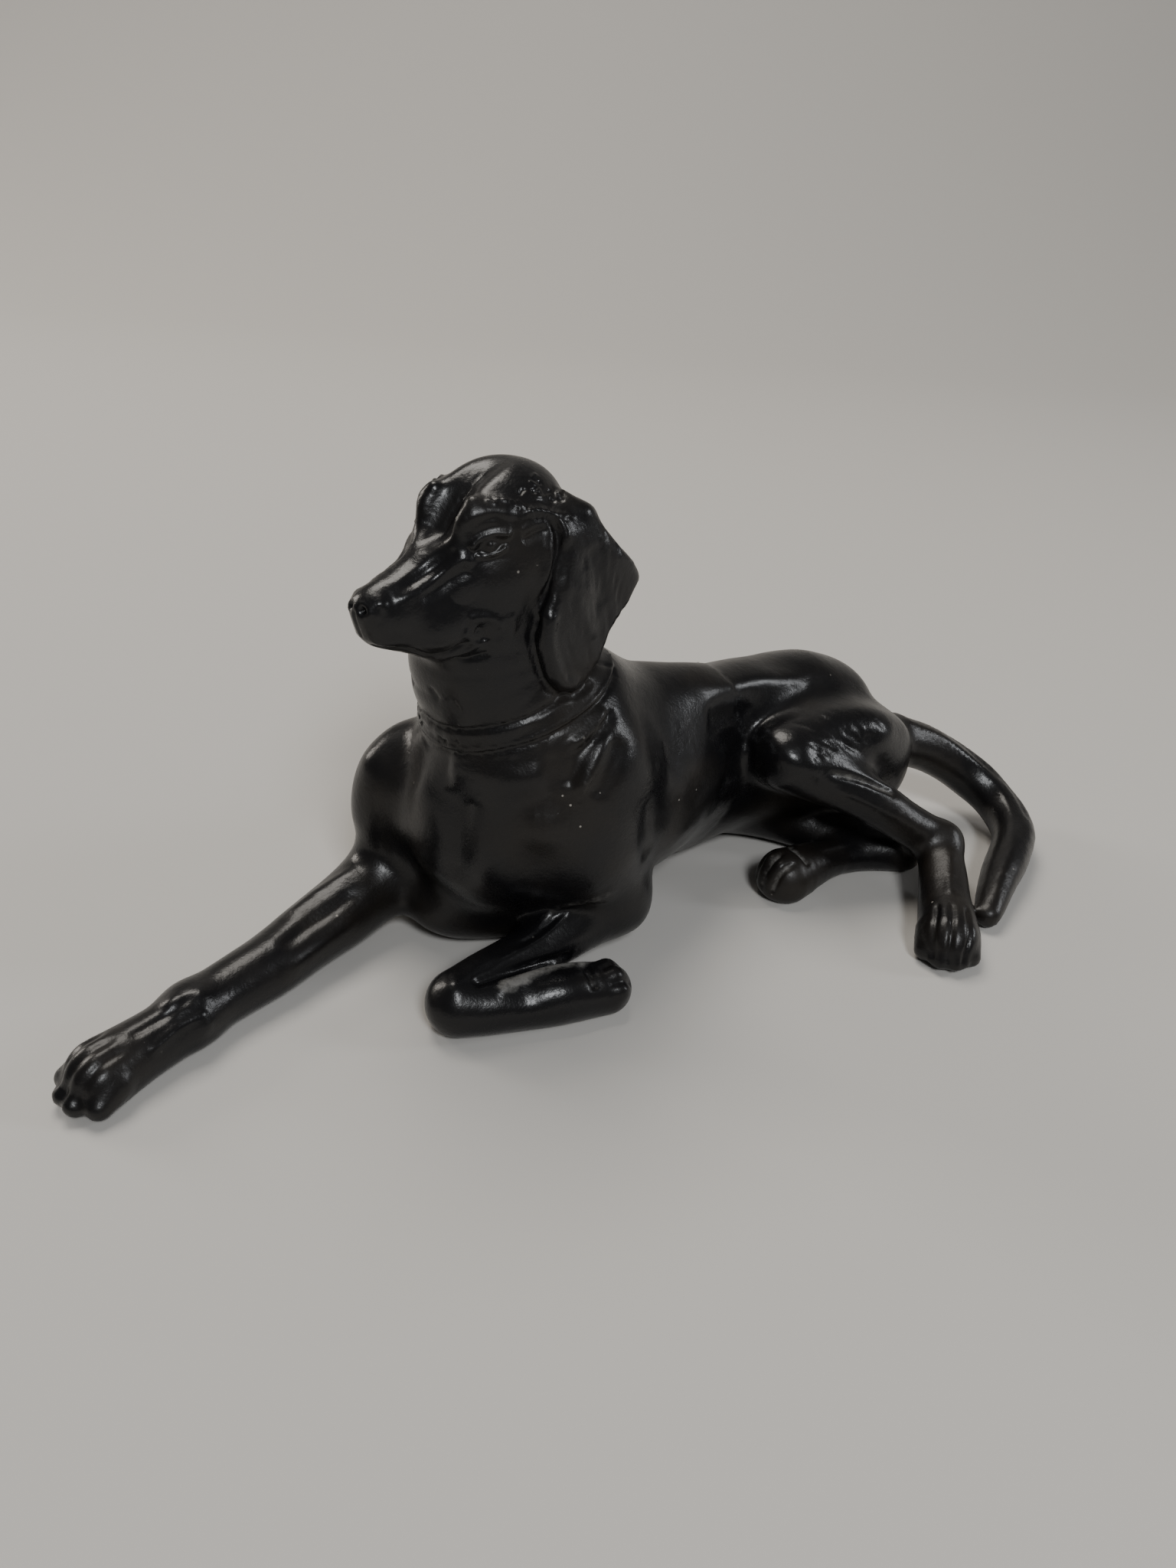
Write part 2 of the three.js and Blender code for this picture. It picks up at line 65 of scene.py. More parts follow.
level_right = Vector((math.cos(EYE_AZIMUTH), -math.sin(EYE_AZIMUTH), 0))
level_ahead = Vector((math.sin(EYE_AZIMUTH), math.cos(EYE_AZIMUTH), 0))
ahead = level_ahead * math.cos(EYE_PITCH) - Vector((0, 0, 1)) * math.sin(EYE_PITCH)
down = ahead.cross(level_right)
right = level_right * math.cos(EYE_ROLL) - down * math.sin(EYE_ROLL)
down = level_right * math.sin(EYE_ROLL) + down * math.cos(EYE_ROLL)

eye_data = bpy.data.cameras.new("eye")
eye_data.sensor_width = SENSOR
eye_data.lens = LENS
eye_data.clip_start = 0.01
eye = bpy.data.objects.new("eye", eye_data)
eye.matrix_world = Matrix.Translation(EYE_PLACE) @ Matrix((right, -down, -ahead)).transposed().to_4x4()
bpy.context.scene.collection.objects.link(eye)
bpy.context.scene.camera = eye

# ---- The casting: its forms -----------------------------------------------------------------
# The hound is cast in one piece of iron from a carved pattern. The carver's forms, eggs of
# muscle and tapering limbs that melt into each other, are set out here in millimetres on the
# pattern's own axes, and the skin lies where the melted distance to them is nothing.

PATTERN_MIDDLE = np.array((0.41, -21.21, 0.0))
FAR = 1e3
MELT_MARGIN = 8  # past its own reach and melt, a form no longer matters
HEAD_FROM_Z, HEAD_TO_X = 62, 12  # the head's forms matter above and before these
HEAD_MELT = 3
TABLE_EDGE = 0.8  # rounding where the underside is planed off


def egg(centre, radii, soft, turn=(0, 0, 0), cut=False):
    centre, radii = np.array(centre, float), np.array(radii, float)
    axes = np.array(Euler([math.radians(a) for a in turn], "XYZ").to_matrix())

    def dist(at):
        local = (at - centre) @ axes / radii
        k = np.sqrt((local ** 2).sum(1)) + 1e-6
        g = np.sqrt(((local / radii) ** 2).sum(1)) + 1e-9
        return k * (k - 1) / g

    return {"dist": dist, "soft": soft, "cut": cut, "middle": centre, "reach": radii.max()}


def limb(start, end):
    a, b = np.array(start[:3], float), np.array(end[:3], float)
    along = b - a

    def dist(at):
        t = np.clip((at - a) @ along / (along @ along), 0, 1)
        return np.linalg.norm(at - a - t[:, None] * along, axis=1) - (start[3] + (end[3] - start[3]) * t)

    return dist


def smooth_line(points, steps=4):
    """Points along a smooth line through the given ones, steps to each stretch."""
    ends = np.array([points[0], *points, points[-1]], float)
    if len(points) == 2:
        return ends[1:3]
    line = []
    for a, b, c, d in zip(ends, ends[1:], ends[2:], ends[3:]):
        for t in np.arange(steps) / steps:
            line.append(b + 0.5 * t * (c - a + t * (2 * a - 5 * b + 4 * c - d + t * (3 * (b - c) + d - a))))
    return np.array([*line, ends[-1]])


def run(points, soft, cut=False):
    """Limbs joined end to end along a smooth line through points of (x, y, z, radius)."""
    line = smooth_line(points)
    links = [limb(a, b) for a, b in zip(line, line[1:])]
    places = line[:, :3]
    middle = (places.min(0) + places.max(0)) / 2
    reach = np.linalg.norm(places - middle, axis=1).max() + line[:, 3].max()

    def dist(at):
        return np.min([link(at) for link in links], 0)

    return {"dist": dist, "soft": soft, "cut": cut, "middle": middle, "reach": reach}


def melt(a, b, k):
    if k <= 0:
        return np.minimum(a, b)
    h = np.maximum(k - np.abs(a - b), 0) / k
    return np.minimum(a, b) - h * h * k / 4


def melted(forms, at, d):
    """Melts forms into the distance d at each point, where they are near enough to matter."""
    d = d.copy()
    for form in forms:
        near = ((at - form["middle"]) ** 2).sum(1) < (form["reach"] + form["soft"] + MELT_MARGIN) ** 2
        if not near.any():
            continue
        own = form["dist"](at[near])
        if form["cut"]:
            d[near] = -melt(-d[near], own, form["soft"])
        else:
            d[near] = melt(d[near], own, form["soft"])
    return d


def toes(ankle, tip, radius, spread, soft=1.6):
    """Four toes side by side at the tip of a paw, the middle two a little ahead."""
    ankle, tip = np.array(ankle, float), np.array(tip, float)
    onward = tip - ankle
    onward /= np.linalg.norm(onward)
    across = np.cross(onward, (0, 0, 1))
    across /= np.linalg.norm(across)
    forms = []
    for side, lead in ((-1.5, -1.6), (-0.5, 1.2), (0.5, 1.2), (1.5, -1.6)):
        knuckle = tip + across * side * spread * 0.92 + onward * (lead - 3.5) + np.array((0, 0, 1.5))
        end = tip + across * side * spread + onward * (lead + 2.2) - np.array((0, 0, 1.2))
        forms.append(run([(*knuckle, radius), (*end, radius * 0.94)], soft))
    return forms


trunk = [
    egg((-4, 3, 38), (45, 27, 32), 0),  # rib cage
    egg((-30, 4, 38), (19, 25, 25), 12),  # breast
    egg((-21, 8, 10), (30, 18, 13.5), 8),  # brisket on the table
    egg((-41, 24, 34), (18, 13, 23), 8),  # point of the right shoulder
    egg((-17, 1, 56), (24, 22, 19), 14),  # withers
    egg((40, 11, 29.5), (46, 18, 29), 16),  # belly and back
    egg((78, 9, 30), (27.5, 22, 25), 14, (-12, 0, 0)),  # pelvis
    egg((90, 5, 38.5), (16, 15, 15.5), 10),  # croup
    run([(-4, 1, 63, 8), (25, 2, 59.5, 7), (55, 5, 53, 7), (80, 7, 48.5, 7.5)], 12),  # backbone
]

neck = [run([(-18, 0, 64, 23), (-32, 1, 80, 19), (-35, 0, 98, 16.5)], 12)]

right_foreleg = [
    run([(-38, 24, 25, 12), (-52, 22, 13, 10.5), (-84, 10, 8, 8.4), (-113, 0, 7, 7.4)], 7),  # arm
    run([(-113, 0, 7, 7.4), (-128, -5.5, 6, 7.6), (-136, -8, 5.5, 8.4)], 4),  # paw
    *toes((-128, -5.5, 4.6), (-140, -9, 4.6), 3, 4.5),
]

left_foreleg = [
    egg((-13, -19, 44), (15, 11, 23), 10, (0, 12, 0)),  # shoulder
    run([(-11, -18, 34, 10), (-3, -17, 15, 9.5)], 8),  # upper arm
    run([(-3, -17, 13, 10), (-28, -22, 10, 7.4), (-56, -27, 8, 7.2)], 6),  # forearm
    run([(-57, -29, 7, 7.4), (-38, -36, 6, 7), (-20, -40, 5.5, 6.8)], 3),  # folded paw
]

right_hind_leg = [
    run([(82, 16, 14, 12), (64, 18, 10, 9)], 10),  # thigh on the table
    run([(64, 8, 8, 7), (80, -14, 7, 7), (97, -32, 5, 5.5)], 6),  # shank
    run([(97, -32, 5, 5.5), (77, -25, 5, 5.2), (54.5, -25.5, 6, 8.5)], 4),  # foot
]

left_hind_leg = [
    egg((79, -11, 34.5), (27, 13, 19), 8, (30, 8, -6)),  # thigh
    egg((96, -12, 26), (13.5, 12, 15.5), 8),  # buttock
    run([(57, -17, 41, 9.5), (79, -30, 28, 7), (99, -43.5, 14, 6.2)], 6),  # shank
    run([(99, -43.5, 14, 6.2), (87.5, -57.5, 8, 7.2), (75, -70.5, 5.5, 8.6)], 4),  # foot
    *toes((87.5, -57.5, 4.6), (73, -72.6, 4.6), 3, 4.2),
]

tail = [
    run([(111, -8, 30, 8), (126, -13, 23.5, 7.2), (137, -21, 16, 7), (140.5, -33, 9.5, 6.8),
         (133, -46, 7, 6.6), (114, -57, 6, 6), (96.5, -67, 3.8, 3.8)], 5),
]

# The head has a frame of its own, on the neck: x to the nose, y out to either side, z to the crown.

HEAD_SEAT = np.array((-34.0, -1.0, 114.0))
HEAD_TURN = math.radians(12.0)
HEAD_DIP = math.radians(15.0)

forward = np.array((-math.cos(HEAD_TURN) * math.cos(HEAD_DIP),
                    -math.sin(HEAD_TURN) * math.cos(HEAD_DIP), -math.sin(HEAD_DIP)))
leftward = np.array((math.sin(HEAD_TURN), -math.cos(HEAD_TURN), 0.0))
HEAD_AXES = np.array((forward, leftward, np.cross(forward, leftward)))

head = [
    egg((-2, 0, 2), (18, 15, 15.5), 0),  # skull
    egg((6.5, 0, 3.5), (12, 11.5, 11.3), 4),  # forehead
    run([(13, 0, -2.5, 8.8), (26, 0, -2.2, 7.4), (32.5, 0, -0.8, 5.6)], 5),  # muzzle
    run([(29, 0, -7.5, 5), (19, 0, -12, 7.5), (7, 0, -16, 9)], 5),  # jaw
    run([(16, 0, 3.4, 3), (32, 0, 2, 3)], 3),  # bridge of the nose
    egg((35, 0, 1.2), (3.7, 4.3, 3.5), 1.5),  # nose
    egg((32.2, 0, -4), (5.6, 5, 5), 3),  # front lips
    egg((1, 8, -7), (13, 8, 10), 6),  # cheek
    egg((18, 5.5, -9), (11, 4.5, 6.5), 4),  # flews
    run([(11.4, 4.6, 10.6, 2), (8.6, 7, 11.6, 3), (3.6, 9.8, 10.6, 2.6)], 3),  # brow
    run([(-6, 0, 20.5, 3), (4, 0, 17.8, 3.6), (14.5, 0, 11.6, 4.6)], 4, cut=True),  # furrow of the brow
]

# The outline of the hanging ear in the head's x-z plane, and how far its middle stands out.
EAR_ROUND = 1.6
EAR_EDGE_MELT = 3
EAR_OUTLINE = np.array([
    (-9.5, 6), (-7.6, 0), (-3.2, -7), (2.6, -12), (4.8, -19), (4.2, -27), (2, -31.6), (-1.2, -33.6),
    (-5.4, -32.4), (-9.5, -30), (-13.6, -24.6), (-20.8, -20.4), (-24.6, -17.2), (-23.8, -13.4), (-20.6, -8),
    (-17.6, -1.6), (-15.8, 3.6), (-13, 7)])


def ear_middle(at):
    z = at[:, 2]
    return 18.2 - 0.018 * np.maximum(z + 10, 0) ** 2


def leaf(at):
    """Distance to the ear's rounded outline in the x-z plane."""
    p = at[:, (0, 2)]
    best = np.full(len(p), 1e9)
    inside = np.zeros(len(p), bool)
    for a, b in zip(EAR_OUTLINE, np.roll(EAR_OUTLINE, -1, 0)):
        edge, to = b - a, p - a
        t = np.clip(to @ edge / (edge @ edge), 0, 1)
        best = np.minimum(best, np.linalg.norm(to - t[:, None] * edge, axis=1))
        crosses = (a[1] > p[:, 1]) != (b[1] > p[:, 1])
        with np.errstate(divide="ignore", invalid="ignore"):
            meets = a[0] + (p[:, 1] - a[1]) * edge[0] / edge[1]
        inside ^= crosses & (p[:, 0] < meets)
    return np.where(inside, -best, best) - EAR_ROUND


def ear_flap(thickness, sunk):
    def dist(at):
        return -melt(-leaf(at), thickness / 2 - np.abs(at[:, 1] - ear_middle(at) + sunk), EAR_EDGE_MELT)

    return {"dist": dist, "soft": 2, "cut": False, "middle": np.array((-9, 18, -14)), "reach": 30}


ear = [
    egg((-11, 12, 1.5), (8, 5.5, 5), 4),  # root
    ear_flap(9, 3.5),  # its fleshy inner side
    ear_flap(4.4, 0),  # the leaf
]


def head_frame(at):
    """Points of the pattern in the head's frame, both sides folded on to one."""
    local = (at - HEAD_SEAT) @ HEAD_AXES.T
    local[:, 1] = np.abs(local[:, 1])
    return local


def skin(at):
    """The distance from each point to the casting's skin, negative inside."""
    d = melted(trunk + neck, at, np.full(len(at), FAR))
    up = (at[:, 2] > HEAD_FROM_Z) & (at[:, 0] < HEAD_TO_X)
    if up.any():
        local = head_frame(at[up])
        head_and_ears = melted(ear, local, melted(head, local, np.full(len(local), FAR)))
        d[up] = melt(d[up], head_and_ears, HEAD_MELT)
    d = melted(right_foreleg + left_foreleg + right_hind_leg + left_hind_leg + tail, at, d)
    return -melt(-d, at[:, 2], TABLE_EDGE)


def slope(at, step=0.05):
    base = skin(at)
    return base, np.stack([(skin(at + step * axis) - base) / step for axis in np.eye(3)], 1)


def settled(at, passes, reach=1.2):
    """Slides points along the slope on to the skin, by no more than reach in one pass."""
    for _ in range(passes):
        d, g = slope(at)
        move = -d[:, None] * g / np.maximum((g ** 2).sum(1), 0.15)[:, None]
        long = np.linalg.norm(move, axis=1)
        at = at + move * np.minimum(1, reach / np.maximum(long, 1e-9))[:, None]
    return at


# ---- The casting: its skin ------------------------------------------------------------------
# The faceted solid is remeshed evenly, and each point is settled on the forms above. Head, paws
# and collar, where the moulder's detail is finest, are divided once or twice more.

GRAIN = 1.5  # spacing of the skin's points on the trunk, mm

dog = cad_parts["dog"]
cast_mesh = dog.data.copy()
casting = bpy.data.objects.new("iron_casting", cast_mesh)
bpy.context.scene.collection.objects.link(casting)

work = bmesh.new()
work.from_mesh(cast_mesh)
bmesh.ops.remove_doubles(work, verts=work.verts, dist=1e-6)
work.to_mesh(cast_mesh)
work.free()
remesh = casting.modifiers.new("even", "REMESH")
remesh.mode = "VOXEL"
remesh.voxel_size = GRAIN * MM
even = bpy.data.meshes.new_from_object(casting.evaluated_get(bpy.context.evaluated_depsgraph_get()))
casting.modifiers.clear()
casting.data = even


def points_of(mesh):
    flat = np.empty(len(mesh.vertices) * 3)
    mesh.vertices.foreach_get("co", flat)
    return flat.reshape(-1, 3) / MM + PATTERN_MIDDLE


def put_points(mesh, at):
    mesh.vertices.foreach_set("co", ((at - PATTERN_MIDDLE) * MM).ravel())
    mesh.update()


def relax(mesh, passes, where=None):
    """Evens out the points: each drifts towards the middle of its neighbours, then back on to the skin."""
    pairs = np.empty(len(mesh.edges) * 2, int)
    mesh.edges.foreach_get("vertices", pairs)
    a, b = pairs.reshape(-1, 2).T
    count = np.bincount(a, minlength=len(mesh.vertices)) + np.bincount(b, minlength=len(mesh.vertices))
    at = points_of(mesh)
    for _ in range(passes):
        total = np.zeros_like(at)
        for n in range(3):
            total[:, n] = np.bincount(a, at[b, n], len(at)) + np.bincount(b, at[a, n], len(at))
        at = at + 0.5 * (total / count[:, None] - at)
        at = settled(at, 1)
    put_points(mesh, at)


def divide(mesh, wanted):
    """Divides the faces whose middle is wanted."""
    work = bmesh.new()
    work.from_mesh(mesh)
    work.faces.ensure_lookup_table()
    middles = np.array([f.calc_center_median() for f in work.faces]) / MM + PATTERN_MIDDLE
    chosen = {e for f, w in zip(work.faces, wanted(middles)) if w for e in f.edges}
    bmesh.ops.subdivide_edges(work, edges=list(chosen), cuts=1, use_grid_fill=True)
    work.to_mesh(mesh)
    work.free()


def near_any(at, balls):
    hit = np.zeros(len(at), bool)
    for x, y, z, r in balls:
        hit |= ((at - (x, y, z)) ** 2).sum(1) < r * r
    return hit


# Centres and radii of the finely divided places.
FINE_BALLS = [(-38, 0, 105, 46), (-30, 0, 76, 25), (-137, -8, 6, 20), (-118, -3, 8, 12), (-40, -34, 8, 28),
              (-20, -40, 8, 14), (55, -26, 8, 15), (76, -70, 8, 18), (-33, -22, 53, 16), (70, -22, 45, 22)]
FACE_BALLS = [(8, 10, 8, 9), (36, 0, 0, 8), (18, 8, -9, 9)]  # eye, nose and mouth, in the head's frame
CHIPPED_CROWN = (-27, -11, 126.5, 8)


def fine(at):
    return near_any(at, FINE_BALLS) & (at[:, 2] > 0.3)


def finest(at):
    return near_any(head_frame(at), FACE_BALLS) | near_any(at, [CHIPPED_CROWN])


put_points(even, settled(points_of(even), 3))
divide(even, fine)
relax(even, 3)
divide(even, finest)
relax(even, 2)
put_points(even, settled(points_of(even), 1))

# ---- The casting: the moulder's detail ------------------------------------------------------
# Lids, lips, nostrils, folds, toes, hair and the cast-on collar stand up from the skin or are cut
# into it. Each is a stroke along a line on the skin, or a round pad, with a height in millimetres.

at = points_of(even)
_, out = slope(at)
out /= np.maximum(np.linalg.norm(out, axis=1), 1e-6)[:, None]
on_head = near_any(at, [(-38, 0, 104, 48)]) & (at[:, 2] > 72)
local = head_frame(at)
relief = np.zeros(len(at))
rubbed_and_sheen = np.zeros(len(at))


def curve_through(points):
    return smooth_line([(*p, 0) for p in points], 5)[:, :3]


def nearness(line, places):
    """For each place, its distance to a line and how far along the line it is, 0 to 1."""
    best = np.full(len(places), FAR)
    along = np.zeros(len(places))
    for i, (a, b) in enumerate(zip(line, line[1:])):
        edge = b - a
        t = np.clip((places - a) @ edge / max(edge @ edge, 1e-9), 0, 1)
        far = np.linalg.norm(places - a - t[:, None] * edge, axis=1)
        closer = far < best
        best[closer] = far[closer]
        along[closer] = (i + t[closer]) / (len(line) - 1)
    return best, along


def head_to_pattern(points):
    return np.array(points, float) @ HEAD_AXES + HEAD_SEAT


def stroke(points, width, height, head_side=False, sharp=False, rub_and_sheen=0.0, ends=0.18):
    """Raises, or with a negative height cuts, a band of the given half width along a line."""
    places, line = at, curve_through(points)
    if head_side:
        line = head_to_pattern(line)
    line = settled(line, 3, 3.0)
    if head_side:
        places, line = local, head_frame(line)
    low, high = line.min(0) - 3 * width, line.max(0) + 3 * width
    near = ((places > low) & (places < high)).all(1)
    if head_side:
        near &= on_head
    if not near.any():
        return
    far, along = nearness(line, places[near])
    fade = np.clip(np.minimum(along, 1 - along) / ends, 0, 1)
    fade = fade * fade * (3 - 2 * fade)
    shape = np.maximum(1 - far / (1.6 * width), 0) if sharp else np.exp(-(far / width) ** 2)
    relief[near] += height * shape * fade
    # The grey rubbed mark: paint worn through to iron along the band, and on lit ridges a painted highlight
    # as well.
    rubbed_and_sheen[near] = np.maximum(rubbed_and_sheen[near], rub_and_sheen * np.exp(-(far / (1.3 * width)) ** 2) * fade)


def pad(centre, radius, height, head_side=False, flat=0.0):
    """A round boss, or with a negative height a hollow. A flat one has a plain top and a rim."""
    c = head_to_pattern([centre]) if head_side else np.array([centre], float)
    c = settled(c, 3, 3.0)
    places = at
    if head_side:
        places, c = local, head_frame(c)
    r = np.linalg.norm(places - c[0], axis=1) / radius
    near = (r < 2.5) & (on_head if head_side else True)
    if flat:
        shape = np.where(r < 1, 1 - (1 - flat) * r ** 2, flat * np.exp(-((r - 1) / 0.12) ** 2))
    else:
        shape = np.exp(-(r * 1.3) ** 2)
    relief[near] += height * shape[near]


# The eyes: a hollow, the ball in it, its two lids, the fold over it and the bag under it.
pad((9.6, 10.4, 6.4), 6.2, -1.9, True)
pad((8.6, 10.6, 6.2), 1.9, 1.5, True)
stroke([(12.8, 9, 6.4), (10.8, 10, 8.2), (7.2, 11, 8.5), (3.4, 12, 6.6)], 1.0, 1.2, True)
stroke([(12.0, 9, 5.2), (10.0, 10, 4.4), (7.4, 11, 4.3), (5.0, 12, 5.2)], 0.55, 0.8, True)
stroke([(12.8, 8, 9.6), (9.6, 9, 11.6), (5.4, 10, 11.2), (1.6, 12, 8.6)], 0.9, -0.4, True)
stroke([(2.2, 12, 4.6), (-1, 13, 5.0), (-4.4, 13.6, 4.6)], 1.0, -0.6, True)
stroke([(2.0, 12, 6.6), (-1.4, 13, 7.0), (-4.8, 13.6, 5.8)], 1.2, 0.4, True)

# The brows: a tuft over each eye with a few coarse hairs behind it.
pad((7.6, 6.6, 14), 2.2, 0.9, True)
for back in range(5):
    stroke([(5.6 - back * 1.5, 8 + back * 0.5, 13.6 - back * 0.4),
            (4.6 - back * 1.5, 9.4 + back * 0.5, 11.4 - back * 0.4)], 0.45, 0.35, True)

# The muzzle: ridges from the inner corner of the eye to the nose, a whisker boss and folds.
stroke([(12.4, 3.4, 8.6), (17, 3.4, 6.6), (24, 3.3, 5.4), (32, 3.0, 4.6)], 1.4, 0.3, True)
stroke([(13.2, 9.2, 2.8), (14.6, 9.0, 5.2), (19.7, 7.8, 4.4), (26, 6.4, 2.9), (32.4, 5.2, 2.2)],
       1.4, 0.75, True)
stroke([(14, 7, 6.8), (20, 5.6, 5.4), (28, 4.8, 4.4)], 1.2, -0.35, True)
stroke([(14, 9.6, 2.4), (19.4, 8.8, 2.2), (26, 7.2, 0.6)], 1.3, -0.4, True)
pad((16.6, 9.2, -0.8), 2.9, 0.6, True, 0.35)
stroke([(18.4, 9, -8.0), (15.4, 10, -8.2), (12.0, 11, -9.6), (10.6, 11.6, -12.6)], 1.3, 0.6, True)
stroke([(20.2, 8.4, -9.6), (18.2, 9, -11.6), (18.0, 9, -14)], 1.2, 0.5, True)
stroke([(16.4, 9.4, -10.2), (14.8, 10, -12), (14.6, 10, -14.6)], 1.1, -0.6, True)
stroke([(8.6, 12, -9), (9.4, 12, -13), (12.4, 10.6, -17)], 1.8, 0.45, True)
stroke([(26.4, 6, -14), (23, 7.4, -14.8), (19, 8.4, -15.2), (14.8, 9.4, -14)], 1.0, 0.7, True)
stroke([(24, 7, -17), (19, 8.6, -17.8), (13, 9.6, -17.6)], 0.6, -0.5, True)
stroke([(37.4, 0.6, -5.4), (34, 3.8, -8.2), (29, 5.6, -10.8), (23.4, 7.4, -12.6), (17.6, 9, -12.6)],
       0.55, -0.85, True, sharp=True)
stroke([(37.8, 1.4, -3.8), (34, 4.6, -6.4), (28.6, 6.4, -8.8), (22.8, 8, -10.6)], 0.9, 0.35, True)
stroke([(39, 0, 3), (39, 0, -1), (38, 0, -4.6)], 0.45, -0.5, True, sharp=True)
pad((38.4, 2.3, 3.0), 1.15, -1.6, True)
stroke([(37.4, 1.2, 4.8), (38.2, 3.4, 4.2), (37.6, 3.8, 2.0), (38.4, 2.4, 1.4)], 0.5, 0.25, True)
stroke([(35.6, 4.6, 3.6), (35.2, 4.8, 0.8), (36.4, 4, -0.8)], 0.7, -0.2, True)
pad((34.4, 4.8, 3.6), 1.8, 0.4, True)
stroke([(-3, 0, 17), (3, 0, 14.5), (9, 0, 11), (14, 0, 7.8)], 0.7, -0.55, True, sharp=True)

# The ears: a rolled front edge with a dark fold behind it, and long hair down the leaf.
stroke([(2.4, 13, 10), (-3, 14, 10.2), (-7.4, 15, 6.4), (-7.6, 16, 1), (-4.4, 17, -4.6), (-0.4, 18, -9.4)],
       1.2, 0.9, True)
stroke([(-5.6, 15, 6.6), (-6.0, 15.6, 1.6), (-2.8, 16.4, -4.4), (1.4, 16.8, -9.4), (5.6, 17, -14.6)],
       0.9, -1.0, True)
stroke([(-3.4, 14.6, 3.4), (-1.4, 15.4, -1.8), (1.8, 16, -7), (4.6, 16.4, -11)], 1.0, 0.8, True)
stroke([(3.4, 17, -11.4), (7.2, 17, -16), (7.6, 17.4, -22), (6.6, 17.8, -28), (3.4, 18.4, -33.6),
        (-1.6, 19, -36.4), (-7, 19, -35)], 0.9, -1.5, True, ends=0.08)
stroke([(1.6, 19, -11), (4.4, 19.4, -17), (4.2, 19.6, -24), (2.4, 19.6, -30), (-2, 19.6, -33)],
       1.5, 0.9, True, ends=0.1)
stroke([(-6.4, 17, -1), (-5.4, 18, -9), (-6.4, 19, -17), (-9, 19.4, -25)], 2.2, 0.5, True)
stroke([(-12, 18, -2), (-12.6, 18.6, -10), (-13.4, 19, -18)], 2.2, -0.5, True)
for hair in range(7):
    stroke([(-1.4 - hair * 1.3, 13.2 + hair * 0.3, 11.0 - 0.3 * hair ** 1.5),
            (-1.9 - hair * 1.5, 14.2 + hair * 0.3, 8.4 - 0.3 * hair ** 1.5)], 0.5, 0.3, True)
pad((-14.4, 15, 3.8), 3.4, 0.9, True)
pad((-18.8, 14, 2.6), 2.6, 0.8, True)
pad((-24, 18, -16.6), 2.8, 0.7, True)
hairs = np.random.default_rng(11)
for _ in range(110):
    x, z = hairs.uniform(-22, 2), hairs.uniform(-31, 3)
    lean = 0.12 + 0.02 * x
    long = hairs.uniform(4, 8)
    stroke([(x, 20, z), (x - lean * long * 0.5, 20, z - long * 0.5), (x - lean * long, 20, z - long)],
           0.42, hairs.uniform(-0.2, -0.08), True, ends=0.35)

# The cast-on collar: a plain band round the neck between two grooves, and the skin folds under it.
COLLAR_MIDDLE = np.array((-31.0, 1.0, 73.6))
COLLAR_AXIS = np.array((-0.31, 0.04, 0.95))
COLLAR_HALF = 2.3
away = at - COLLAR_MIDDLE
level = away @ COLLAR_AXIS
ring = np.linalg.norm(away - level[:, None] * COLLAR_AXIS, axis=1)
in_ring = (np.abs(level) < 9) & (ring < 30) & (leaf(local) > 0.4)
edge_top = level - COLLAR_HALF
edge_low = level + COLLAR_HALF
collar = 0.55 / (1 + np.exp(np.clip((np.abs(level) - COLLAR_HALF) / 0.3, -30, 30)))
collar -= 0.75 * np.exp(-((edge_top - 0.6) / 0.6) ** 2)
collar += 0.6 * np.exp(-((edge_low - 0.1) / 0.55) ** 2)
collar -= 0.5 * np.exp(-((edge_low + 0.9) / 0.6) ** 2)
relief[in_ring] += collar[in_ring]
for n in range(-34, 36):
    turn = math.radians(200 + n * 3.2)
    foot = COLLAR_MIDDLE + 22 * np.array((math.cos(turn), math.sin(turn), 0)) - 3.4 * COLLAR_AXIS
    stroke([foot, foot - np.array((0, 0, 2.2)), foot - np.array((0, 0, 4.4))], 0.5,
           0.16 + 0.1 * math.sin(n * 1.7), ends=0.4)
stroke([(-24, -23, 69), (-19, -24, 72), (-12, -21, 76)], 1.5, 0.9)
stroke([(-22, -24, 67), (-16, -24, 71), (-10, -21, 75)], 1.1, -0.8)
for x, y, z in ((-52, -4, 82), (-50, -10, 80), (-48, 6, 82)):
    stroke([(x, y, z), (x + 1.4, y - 2.4, z - 3.2)], 0.8, -0.5)

# Chest and shoulders: points of the shoulders, the blade's ridge, and strokes where hair is worked.
stroke([(-46, -10, 56), (-48, -11, 48), (-48, -12, 40), (-46, -9, 28)], 5, -1.6)
pad((-50, 0, 50), 9, 1.6)
pad((-31, -24, 48), 8, 2.4)
stroke([(-49, -6, 61), (-44, -13, 61), (-36, -18, 61), (-28, -21, 62)], 4.5, 1.5)
pad((-56, 23, 50), 5, 0.9)
# The grey rubbed paint on the shoulder ridge is partly a painted highlight.
stroke([(-24, -27, 57), (-20, -27, 63), (-17, -26, 67), (-14, -24, 70)], 1.8, 1.1, rub_and_sheen=0.25)
stroke([(-20, -28, 56), (-15, -27, 63), (-11, -25, 69)], 2.6, -0.9)
stroke([(-27, -27, 60), (-24, -27, 65), (-22, -25, 69)], 1.6, -0.7)
for n in range(8):
    stroke([(-33 + n * 0.95, -23.6 - n * 0.5, 58), (-33 + n * 0.95, -24.6 - n * 0.5, 52),
            (-33 + n * 0.95, -24.6 - n * 0.4, 47)], 0.4, -0.22)
    stroke([(-33, -24, 57.5 - n * 1.4), (-30, -26, 57.7 - n * 1.4), (-27, -27, 58 - n * 1.4)], 0.35, -0.16)
for n in range(9):
    stroke([(-24 + n * 1.1, -27.5, 55.5 + n * 1.5), (-22 + n * 1.1, -27.5, 57.2 + n * 1.5)], 0.4, -0.2)
stroke([(-3, -29, 52), (-2, -29, 42), (1, -27, 30)], 3.2, -0.9)

